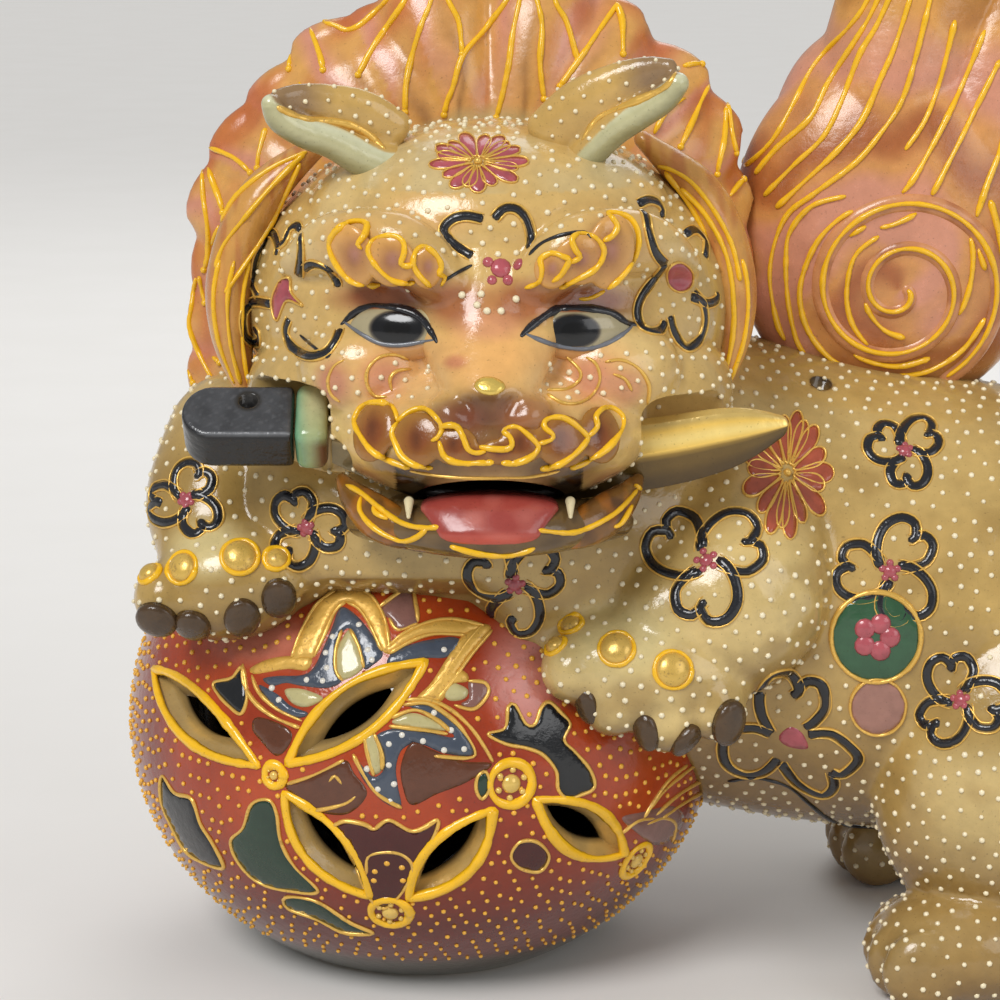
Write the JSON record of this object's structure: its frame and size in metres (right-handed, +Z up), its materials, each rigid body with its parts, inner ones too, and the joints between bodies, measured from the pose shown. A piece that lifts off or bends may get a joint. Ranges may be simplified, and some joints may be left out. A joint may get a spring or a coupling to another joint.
{
  "type": "guardian lion figurine",
  "caption": "Glazed ceramic guardian lion leaning its forepaws on a pierced hollow ball, dagger held crosswise in its mouth, flame mane and flame tail.",
  "frame": {"origin": "centre of the ball's flat foot, on the surface the figure stands on", "axes": "+Z up; +X towards the rump, to the viewer's right; -Y the way the face looks"},
  "size_m": [0.2309, 0.1515, 0.2441],
  "materials": {
    "ball_enamel": "glossy orange-red enamel over fired clay",
    "boss_gold": "worn gilding over raised slip",
    "claw_brown": "glossy dark brown glaze",
    "brow_ochre": "glossy ochre glaze with raised yellow lines",
    "moustache_brown": "glossy brown glaze with raised yellow lines",
    "beard_ochre": "glossy ochre glaze with raised yellow lines",
    "mane_orange": "glossy orange glaze with raised yellow lines",
    "lock_yellow": "glossy yellow-ochre glaze",
    "ear_celadon": "glossy pale celadon glaze",
    "eye_black": "wet black glaze",
    "fang_ivory": "glossy ivory glaze",
    "skin_tan": "glossy khaki glaze with raised white dots",
    "tail_orange": "glossy orange glaze with raised yellow lines",
    "swirl_yellow": "glossy yellow glaze",
    "tongue_red": "wet red glaze",
    "grip_black": "glossy black glaze",
    "collar_celadon": "glossy green celadon glaze",
    "blade_gold": "gilding over fired clay"
  },
  "bodies": {
    "root": {"ball": "ball_enamel", "beard_left": "beard_ochre", "beard_right": "beard_ochre", "body": "skin_tan", "boss_left_1": "boss_gold", "boss_left_2": "boss_gold", "boss_left_3": "boss_gold", "boss_left_4": "boss_gold", "boss_right_1": "boss_gold", "boss_right_2": "boss_gold", "boss_right_3": "boss_gold", "boss_right_4": "boss_gold", "brow_left": "brow_ochre", "brow_right": "brow_ochre", "claw_left_1": "claw_brown", "claw_left_2": "claw_brown", "claw_left_3": "claw_brown", "claw_left_4": "claw_brown", "claw_right_1": "claw_brown", "claw_right_2": "claw_brown", "claw_right_3": "claw_brown", "claw_right_4": "claw_brown", "dagger_blade": "blade_gold", "dagger_collar": "collar_celadon", "dagger_grip": "grip_black", "ear_left": "ear_celadon", "ear_right": "ear_celadon", "eye_left": "eye_black", "eye_right": "eye_black", "fang_left": "fang_ivory", "fang_right": "fang_ivory", "foreleg_left": "skin_tan", "foreleg_right": "skin_tan", "forepaw_left": "skin_tan", "forepaw_right": "skin_tan", "head": "skin_tan", "hind_foot_far": "skin_tan", "hind_foot_near": "skin_tan", "hind_leg_far": "skin_tan", "hind_leg_near": "skin_tan", "lower_jaw": "beard_ochre", "mane_crest": "mane_orange", "mane_left": "mane_orange", "mane_nape": "mane_orange", "mane_right": "mane_orange", "moustache_left": "moustache_brown", "moustache_right": "moustache_brown", "side_lock_left": "lock_yellow", "side_lock_right": "lock_yellow", "tail": "tail_orange", "tail_curl": "swirl_yellow", "tongue": "tongue_red"}
  },
  "joints": []
}
